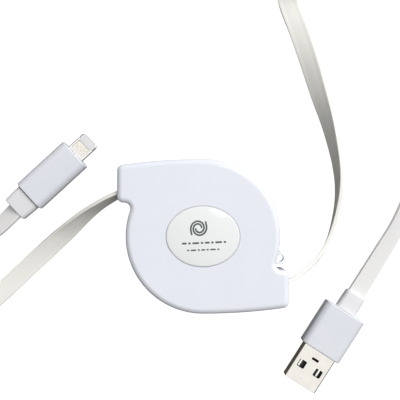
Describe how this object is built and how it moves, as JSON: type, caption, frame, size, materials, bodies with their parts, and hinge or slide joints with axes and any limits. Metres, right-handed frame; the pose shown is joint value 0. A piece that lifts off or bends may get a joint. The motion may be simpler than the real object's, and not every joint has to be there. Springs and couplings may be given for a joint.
{
  "type": "retractable charging cable",
  "caption": "Round two-way reel case with a flat ribbon cable out of each side, one ending in a small blade plug and the other in a flat-shelled plug.",
  "frame": {"origin": "middle of the case's underside, on the reel's axis", "axes": "+Z along the reel's axis, up through the badge; +X towards the spout of the charger plug's ribbon; +Y towards the far side of the phone plug's spout"},
  "size_m": [0.2246, 0.1564, 0.0144],
  "materials": {
    "case_abs": "glossy moulded",
    "badge_acrylic": "domed gloss",
    "screw_steel": "zinc plated",
    "spool_acetal": "moulded satin",
    "spring_steel": "blued strip",
    "ball_steel": "polished",
    "ribbon_tpe": "satin extruded",
    "cover_pc": "moulded satin gloss",
    "boot_tpe": "satin moulded",
    "blade_steel": "bead blasted",
    "insert_lcp": "moulded",
    "board_fr4": "solder mask",
    "chip_epoxy": "moulded epoxy",
    "shell_steel": "nickel plated",
    "contact_gold": "gold plated"
  },
  "bodies": {
    "case": {"upper_case": "case_abs", "lower_case": "case_abs", "badge": "badge_acrylic", "case_screw_1": "screw_steel", "case_screw_2": "screw_steel", "phone_lead": "ribbon_tpe", "charger_lead": "ribbon_tpe", "phone_cord": "ribbon_tpe", "charger_cord": "ribbon_tpe", "phone_plug_cover": "cover_pc", "phone_plug_boot": "boot_tpe", "phone_plug_blade": "blade_steel", "phone_plug_insert": "insert_lcp", "phone_plug_core": "insert_lcp", "phone_plug_board": "board_fr4", "phone_plug_chip": "chip_epoxy", "phone_contact_top_1": "contact_gold", "phone_contact_top_2": "contact_gold", "phone_contact_top_3": "contact_gold", "phone_contact_top_4": "contact_gold", "phone_contact_top_5": "contact_gold", "phone_contact_top_6": "contact_gold", "phone_contact_top_7": "contact_gold", "phone_contact_top_8": "contact_gold", "phone_contact_under_1": "contact_gold", "phone_contact_under_2": "contact_gold", "phone_contact_under_3": "contact_gold", "phone_contact_under_4": "contact_gold", "phone_contact_under_5": "contact_gold", "phone_contact_under_6": "contact_gold", "phone_contact_under_7": "contact_gold", "phone_contact_under_8": "contact_gold", "charger_plug_cover": "cover_pc", "charger_plug_boot": "boot_tpe", "charger_plug_shell": "shell_steel", "charger_plug_tongue": "insert_lcp", "charger_plug_mould": "insert_lcp", "charger_contact_1": "contact_gold", "charger_contact_2": "contact_gold", "charger_contact_3": "contact_gold", "charger_contact_4": "contact_gold"},
    "reel": {"spool": "spool_acetal", "spool_cap": "spool_acetal", "wound_cable": "ribbon_tpe", "main_spring": "spring_steel"},
    "ball": {"stop_ball": "ball_steel"}
  },
  "joints": [
    {"name": "spool_turn", "type": "hinge", "parent": "case", "child": "reel", "pos_m": [0, 0, 0], "axis": [0, 0, 1], "range_deg": [-850, 720], "stiffness_Nm_per_rad": 0.0008, "springref_deg": -1432.39, "deforming": ["wound_cable", "main_spring"]},
    {"name": "ball_slide", "type": "slide", "parent": "case", "child": "ball", "axis": [1, 0, 0], "range_m": [-0.0003, 0.003]}
  ]
}
